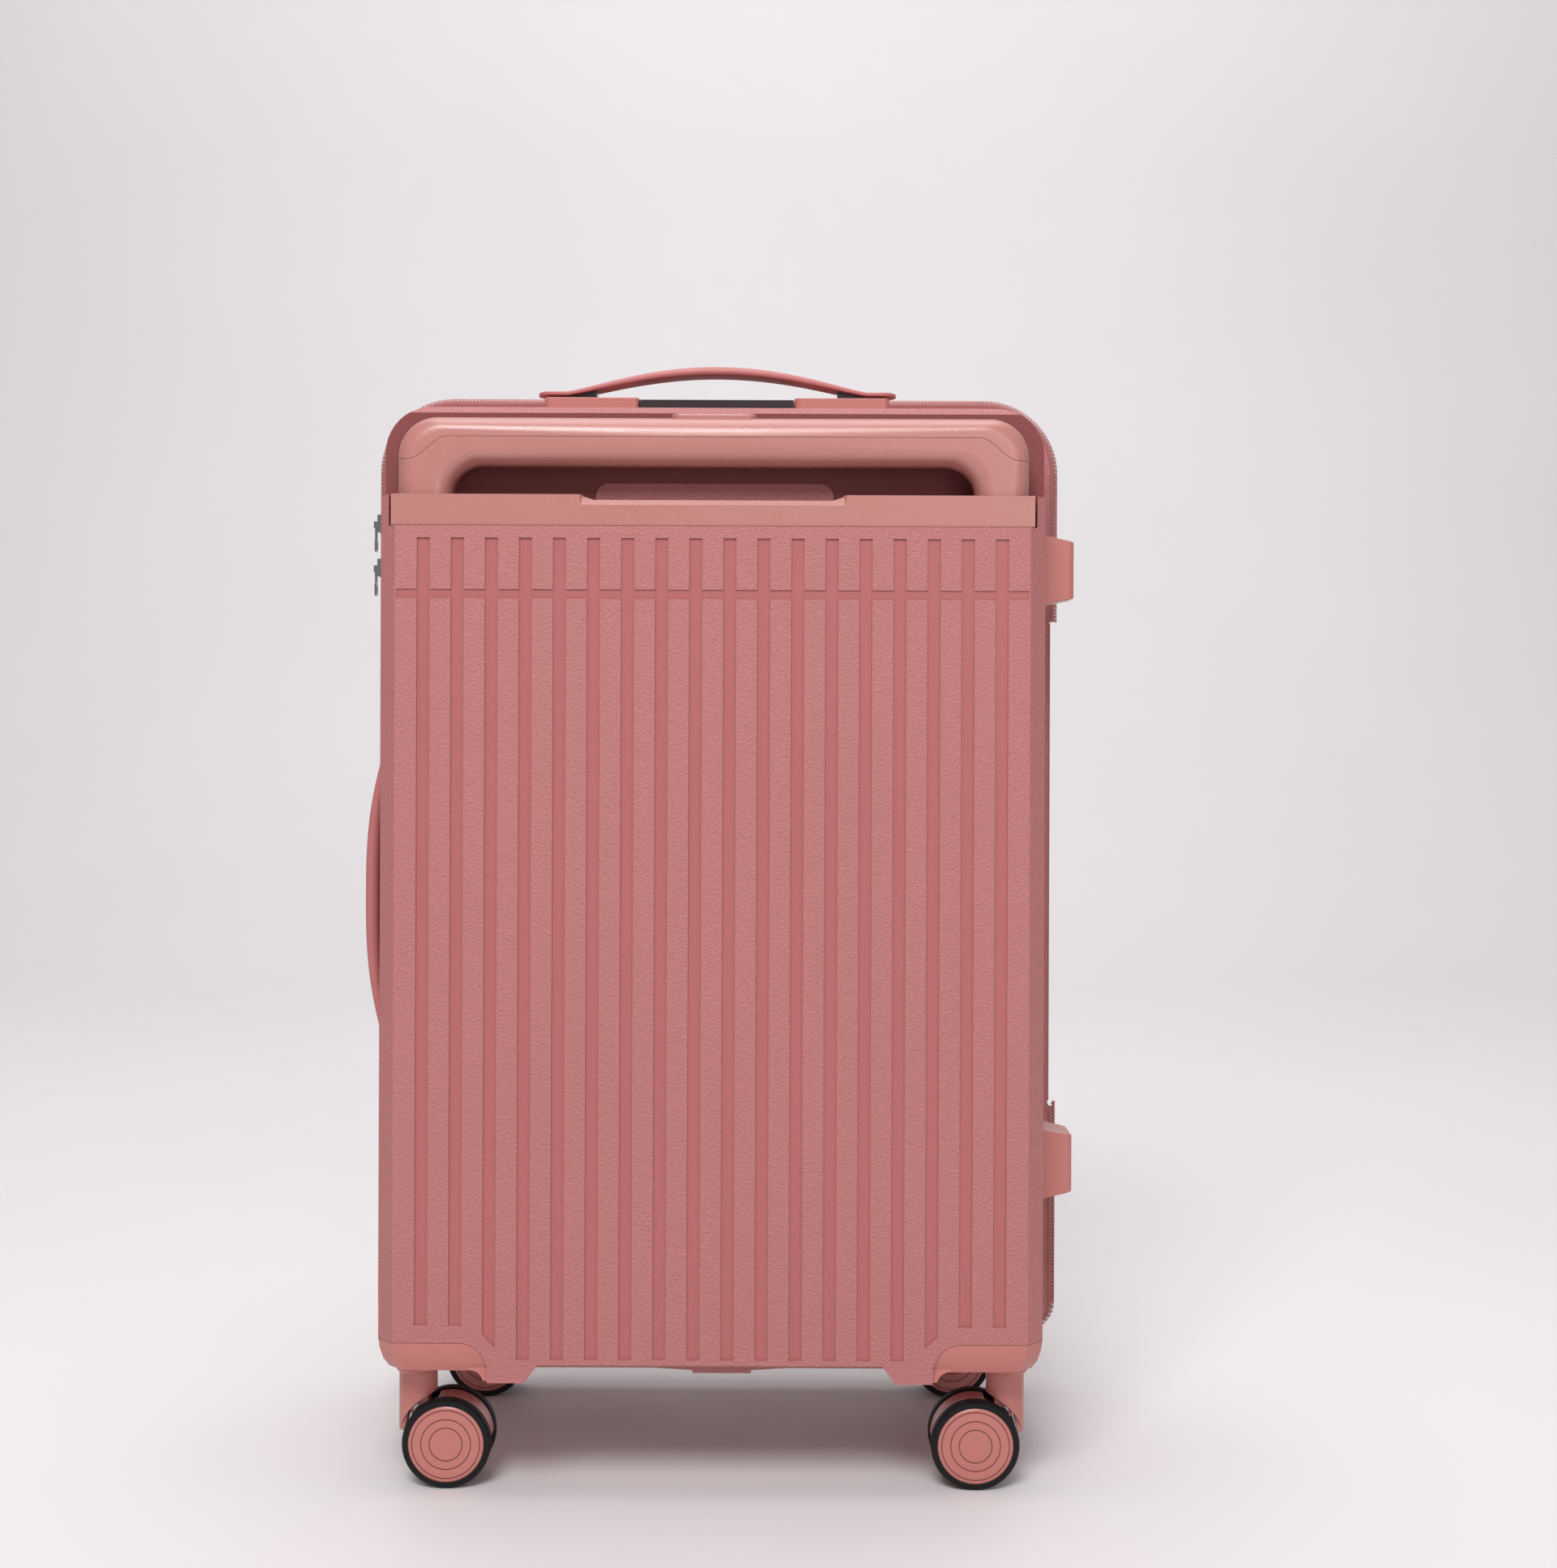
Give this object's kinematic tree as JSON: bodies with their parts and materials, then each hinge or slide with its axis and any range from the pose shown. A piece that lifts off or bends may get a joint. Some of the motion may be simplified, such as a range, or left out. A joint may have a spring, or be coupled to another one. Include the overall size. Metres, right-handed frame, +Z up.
{
  "type": "hard shell suitcase on wheels",
  "caption": "Upright hard shell suitcase with ribbed faces, a wide telescopic trolley grip, arched carry handles, zip, lock, side feet and sprung twin-wheel spinner casters.",
  "frame": {"origin": "on the floor, midway between the side faces, at the parting plane of the two halves", "axes": "+Z up, -Y towards the trolley face, +X towards the hinge side with the side feet"},
  "size_m": [0.4985, 0.29, 0.7685],
  "materials": {
    "shell_pink": "fine sandy moulded texture, satin",
    "smooth_pink": "smooth moulded plastic, semi-gloss",
    "satin_pink": "smooth satin",
    "handle_pink": "soft-touch rubbery plastic",
    "dark_plastic": "moulded, matt",
    "gloss_dark": "glossy",
    "tube_aluminium": "anodised, drawn",
    "pin_steel": "turned steel",
    "chrome_trim": "polished",
    "dial_metal": "knurled rim",
    "wheel_rubber": "smooth matt rubber",
    "lining_fabric": "fine plain-weave polyester",
    "strap_webbing": "woven webbing",
    "zip_tape": "coated zip tape and coil teeth"
  },
  "bodies": {
    "case_back": {"back_shell": "shell_pink", "back_lining": "lining_fabric", "packing_straps": "strap_webbing", "trolley_bezel": "satin_pink", "trolley_outer_tubes": "tube_aluminium", "tube_brackets": "dark_plastic", "housings_back": "smooth_pink", "side_feet_back": "smooth_pink", "top_handle_pads": "smooth_pink", "top_handle_well": "gloss_dark", "side_handle_pads": "dark_plastic", "zip_back": "zip_tape", "hinge_tape": "zip_tape"},
    "case_front": {"front_shell": "shell_pink", "front_lining": "lining_fabric", "zip_front": "zip_tape", "housings_front": "smooth_pink", "side_feet_front": "smooth_pink", "lock_body": "dark_plastic"},
    "mid_tubes": {"trolley_mid_tubes": "tube_aluminium"},
    "grip": {"trolley_inner_tubes": "tube_aluminium", "grip_body": "satin_pink", "grip_cap": "satin_pink"},
    "release": {"release_button": "satin_pink", "release_rods": "pin_steel"},
    "top_handle": {"top_handle": "handle_pink", "top_handle_posts": "gloss_dark"},
    "side_handle": {"side_handle": "handle_pink"},
    "slider_upper": {"zip_slider_upper": "chrome_trim"},
    "slider_lower": {"zip_slider_lower": "chrome_trim"},
    "pull_upper": {"zip_pull_upper": "chrome_trim"},
    "pull_lower": {"zip_pull_lower": "chrome_trim"},
    "lock_button": {"lock_button": "chrome_trim"},
    "dial_1": {"lock_dial_1": "dial_metal"},
    "dial_2": {"lock_dial_2": "dial_metal"},
    "dial_3": {"lock_dial_3": "dial_metal"},
    "fork_back_left": {"fork_back_left": "smooth_pink"},
    "arm_back_left": {"arm_back_left": "smooth_pink"},
    "wheel_a_back_left": {"tyre_a_back_left": "wheel_rubber", "hub_a_back_left": "smooth_pink"},
    "wheel_b_back_left": {"tyre_b_back_left": "wheel_rubber", "hub_b_back_left": "smooth_pink"},
    "fork_back_right": {"fork_back_right": "smooth_pink"},
    "arm_back_right": {"arm_back_right": "smooth_pink"},
    "wheel_a_back_right": {"tyre_a_back_right": "wheel_rubber", "hub_a_back_right": "smooth_pink"},
    "wheel_b_back_right": {"tyre_b_back_right": "wheel_rubber", "hub_b_back_right": "smooth_pink"},
    "fork_front_left": {"fork_front_left": "smooth_pink"},
    "arm_front_left": {"arm_front_left": "smooth_pink"},
    "wheel_a_front_left": {"tyre_a_front_left": "wheel_rubber", "hub_a_front_left": "smooth_pink"},
    "wheel_b_front_left": {"tyre_b_front_left": "wheel_rubber", "hub_b_front_left": "smooth_pink"},
    "fork_front_right": {"fork_front_right": "smooth_pink"},
    "arm_front_right": {"arm_front_right": "smooth_pink"},
    "wheel_a_front_right": {"tyre_a_front_right": "wheel_rubber", "hub_a_front_right": "smooth_pink"},
    "wheel_b_front_right": {"tyre_b_front_right": "wheel_rubber", "hub_b_front_right": "smooth_pink"}
  },
  "joints": [
    {"name": "case_opening", "type": "hinge", "parent": "case_back", "child": "case_front", "pos_m": [0.248, 0, 0.418], "axis": [0, 0, -1], "range_deg": [0, 170], "deforming": ["hinge_tape"]},
    {"name": "trolley_lower_stage", "type": "slide", "parent": "case_back", "child": "mid_tubes", "axis": [0, 0, 1], "range_m": [0, 0.19]},
    {"name": "trolley_upper_stage", "type": "slide", "parent": "mid_tubes", "child": "grip", "axis": [0, 0, 1], "range_m": [0, 0.19]},
    {"name": "release_press", "type": "slide", "parent": "grip", "child": "release", "axis": [0, 0, -1], "range_m": [0, 0.0025], "stiffness_N_per_m": 600, "springref_m": -0.004},
    {"name": "top_handle_lift", "type": "slide", "parent": "case_back", "child": "top_handle", "axis": [0, 0, 1], "range_m": [0, 0.003], "stiffness_N_per_m": 800, "springref_m": -0.002},
    {"name": "side_handle_lift", "type": "slide", "parent": "case_back", "child": "side_handle", "axis": [-1, 0, 0], "range_m": [0, 0.003], "stiffness_N_per_m": 800, "springref_m": -0.002},
    {"name": "zip_upper_travel", "type": "slide", "parent": "case_back", "child": "slider_upper", "axis": [0, 0, 1], "range_m": [0, 0.024]},
    {"name": "zip_lower_travel", "type": "slide", "parent": "case_back", "child": "slider_lower", "axis": [0, 0, -1], "range_m": [0, 0.5]},
    {"name": "upper_pull_swing", "type": "hinge", "parent": "slider_upper", "child": "pull_upper", "pos_m": [-0.2502, 0, 0.6615], "axis": [0, 1, 0], "range_deg": [0, 150]},
    {"name": "lower_pull_swing", "type": "hinge", "parent": "slider_lower", "child": "pull_lower", "pos_m": [-0.2502, 0, 0.6295], "axis": [0, 1, 0], "range_deg": [0, 150]},
    {"name": "lock_button_slide", "type": "slide", "parent": "case_front", "child": "lock_button", "axis": [0, 0, 1], "range_m": [0, 0.005], "stiffness_N_per_m": 200, "springref_m": -0.004},
    {"name": "dial_1_turn", "type": "hinge", "parent": "case_front", "child": "dial_1", "pos_m": [-0.2297, 0.03, 0.6], "axis": [0, 0, 1], "continuous": true},
    {"name": "dial_2_turn", "type": "hinge", "parent": "case_front", "child": "dial_2", "pos_m": [-0.2297, 0.03, 0.608], "axis": [0, 0, 1], "continuous": true},
    {"name": "dial_3_turn", "type": "hinge", "parent": "case_front", "child": "dial_3", "pos_m": [-0.2297, 0.03, 0.616], "axis": [0, 0, 1], "continuous": true},
    {"name": "swivel_back_left", "type": "hinge", "parent": "case_back", "child": "fork_back_left", "pos_m": [-0.2005, -0.1, 0.08], "axis": [0, 0, 1], "continuous": true},
    {"name": "suspension_back_left", "type": "hinge", "parent": "fork_back_left", "child": "arm_back_left", "pos_m": [-0.199, -0.1, 0.0505], "axis": [0, -1, 0], "range_deg": [0, 6], "stiffness_Nm_per_rad": 5, "springref_deg": -6.88},
    {"name": "spin_a_back_left", "type": "hinge", "parent": "arm_back_left", "child": "wheel_a_back_left", "pos_m": [-0.179, -0.1, 0.03], "axis": [0, 1, 0], "continuous": true},
    {"name": "spin_b_back_left", "type": "hinge", "parent": "arm_back_left", "child": "wheel_b_back_left", "pos_m": [-0.179, -0.1, 0.03], "axis": [0, 1, 0], "continuous": true},
    {"name": "swivel_back_right", "type": "hinge", "parent": "case_back", "child": "fork_back_right", "pos_m": [0.2005, -0.1, 0.08], "axis": [0, 0, 1], "continuous": true},
    {"name": "suspension_back_right", "type": "hinge", "parent": "fork_back_right", "child": "arm_back_right", "pos_m": [0.199, -0.1, 0.0505], "axis": [0, 1, 0], "range_deg": [0, 6], "stiffness_Nm_per_rad": 5, "springref_deg": -6.88},
    {"name": "spin_a_back_right", "type": "hinge", "parent": "arm_back_right", "child": "wheel_a_back_right", "pos_m": [0.179, -0.1, 0.03], "axis": [0, 1, 0], "continuous": true},
    {"name": "spin_b_back_right", "type": "hinge", "parent": "arm_back_right", "child": "wheel_b_back_right", "pos_m": [0.179, -0.1, 0.03], "axis": [0, 1, 0], "continuous": true},
    {"name": "swivel_front_left", "type": "hinge", "parent": "case_front", "child": "fork_front_left", "pos_m": [-0.2005, 0.1, 0.08], "axis": [0, 0, 1], "continuous": true},
    {"name": "suspension_front_left", "type": "hinge", "parent": "fork_front_left", "child": "arm_front_left", "pos_m": [-0.199, 0.1, 0.0505], "axis": [0, -1, 0], "range_deg": [0, 6], "stiffness_Nm_per_rad": 5, "springref_deg": -6.88},
    {"name": "spin_a_front_left", "type": "hinge", "parent": "arm_front_left", "child": "wheel_a_front_left", "pos_m": [-0.179, 0.1, 0.03], "axis": [0, 1, 0], "continuous": true},
    {"name": "spin_b_front_left", "type": "hinge", "parent": "arm_front_left", "child": "wheel_b_front_left", "pos_m": [-0.179, 0.1, 0.03], "axis": [0, 1, 0], "continuous": true},
    {"name": "swivel_front_right", "type": "hinge", "parent": "case_front", "child": "fork_front_right", "pos_m": [0.2005, 0.1, 0.08], "axis": [0, 0, 1], "continuous": true},
    {"name": "suspension_front_right", "type": "hinge", "parent": "fork_front_right", "child": "arm_front_right", "pos_m": [0.199, 0.1, 0.0505], "axis": [0, 1, 0], "range_deg": [0, 6], "stiffness_Nm_per_rad": 5, "springref_deg": -6.88},
    {"name": "spin_a_front_right", "type": "hinge", "parent": "arm_front_right", "child": "wheel_a_front_right", "pos_m": [0.179, 0.1, 0.03], "axis": [0, 1, 0], "continuous": true},
    {"name": "spin_b_front_right", "type": "hinge", "parent": "arm_front_right", "child": "wheel_b_front_right", "pos_m": [0.179, 0.1, 0.03], "axis": [0, 1, 0], "continuous": true}
  ]
}
